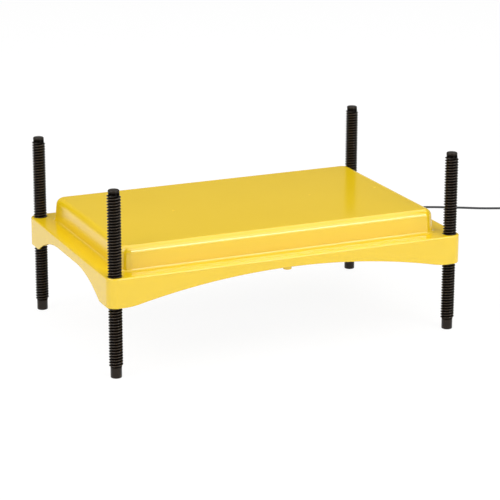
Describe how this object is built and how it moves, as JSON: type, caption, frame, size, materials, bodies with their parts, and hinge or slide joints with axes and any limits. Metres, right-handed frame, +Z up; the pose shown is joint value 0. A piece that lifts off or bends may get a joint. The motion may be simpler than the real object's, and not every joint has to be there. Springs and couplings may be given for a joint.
{
  "type": "chick brooder heat plate",
  "caption": "Brooder heat plate for chicks: moulded cover with a raised deck and arched skirt, heated panel below, on screw-adjusted threaded legs, with a low-voltage lead.",
  "frame": {"origin": "on the floor under the middle of the plate, with the legs at the height that the picture shows", "axes": "+X along the plate's long side to the right as seen from the front, +Y to the rear, where the lead leaves, +Z up"},
  "size_m": [0.9103, 0.5572, 0.245],
  "materials": {
    "yellow_shell": "gloss",
    "leg_black": "satin",
    "panel_black": "matte",
    "film_amber": "gloss",
    "foil": "satin",
    "felt": "matte",
    "part_black": "matte",
    "steel": "satin",
    "nickel": "polished",
    "block_ivory": "matte",
    "wire_red": "satin",
    "cord": "satin"
  },
  "bodies": {
    "shell": {"top_cover": "yellow_shell", "base_frame": "yellow_shell", "heat_panel": "panel_black", "element_film": "film_amber", "heating_track": "foil", "insulation_board": "felt", "thermal_cutout": "part_black", "cutout_clip": "steel", "terminal_block": "block_ivory", "terminal_screws": "steel", "lead_wires": "wire_red", "cord_tail": "cord", "cord_clamp": "part_black", "clamp_screws": "steel", "frame_screws": "steel", "panel_screws": "steel", "strain_relief": "cord", "supply_cord": "cord", "cord_coil": "cord", "cord_tie": "part_black", "plug_body": "cord", "plug_sleeve": "nickel"},
    "foot_front_left": {"foot_front_left": "leg_black"},
    "foot_front_right": {"foot_front_right": "leg_black"},
    "foot_rear_left": {"foot_rear_left": "leg_black"},
    "foot_rear_right": {"foot_rear_right": "leg_black"},
    "leg_front_left": {"leg_front_left": "leg_black"},
    "leg_front_right": {"leg_front_right": "leg_black"},
    "leg_rear_left": {"leg_rear_left": "leg_black"},
    "leg_rear_right": {"leg_rear_right": "leg_black"}
  },
  "joints": [
    {"name": "height_front_left", "type": "slide", "parent": "shell", "child": "foot_front_left", "axis": [0, 0, 1], "range_m": [-0.0975, 0.075]},
    {"name": "turn_front_left", "type": "hinge", "parent": "foot_front_left", "child": "leg_front_left", "pos_m": [-0.2375, -0.147, 0.014], "axis": [0, 0, 1], "range_deg": [-9361, 7201]},
    {"name": "height_front_right", "type": "slide", "parent": "shell", "child": "foot_front_right", "axis": [0, 0, 1], "range_m": [-0.0975, 0.075]},
    {"name": "turn_front_right", "type": "hinge", "parent": "foot_front_right", "child": "leg_front_right", "pos_m": [0.2375, -0.147, 0.014], "axis": [0, 0, 1], "range_deg": [-9361, 7201]},
    {"name": "height_rear_left", "type": "slide", "parent": "shell", "child": "foot_rear_left", "axis": [0, 0, 1], "range_m": [-0.0975, 0.075]},
    {"name": "turn_rear_left", "type": "hinge", "parent": "foot_rear_left", "child": "leg_rear_left", "pos_m": [-0.2375, 0.147, 0.014], "axis": [0, 0, 1], "range_deg": [-9361, 7201]},
    {"name": "height_rear_right", "type": "slide", "parent": "shell", "child": "foot_rear_right", "axis": [0, 0, 1], "range_m": [-0.0975, 0.075]},
    {"name": "turn_rear_right", "type": "hinge", "parent": "foot_rear_right", "child": "leg_rear_right", "pos_m": [0.2375, 0.147, 0.014], "axis": [0, 0, 1], "range_deg": [-9361, 7201]}
  ],
  "couplings": [
    {"joint": "turn_front_left", "follows": "height_front_left", "rad_per_m": 1675.5},
    {"joint": "turn_front_right", "follows": "height_front_right", "rad_per_m": 1675.5},
    {"joint": "turn_rear_left", "follows": "height_rear_left", "rad_per_m": 1675.5},
    {"joint": "turn_rear_right", "follows": "height_rear_right", "rad_per_m": 1675.5}
  ]
}
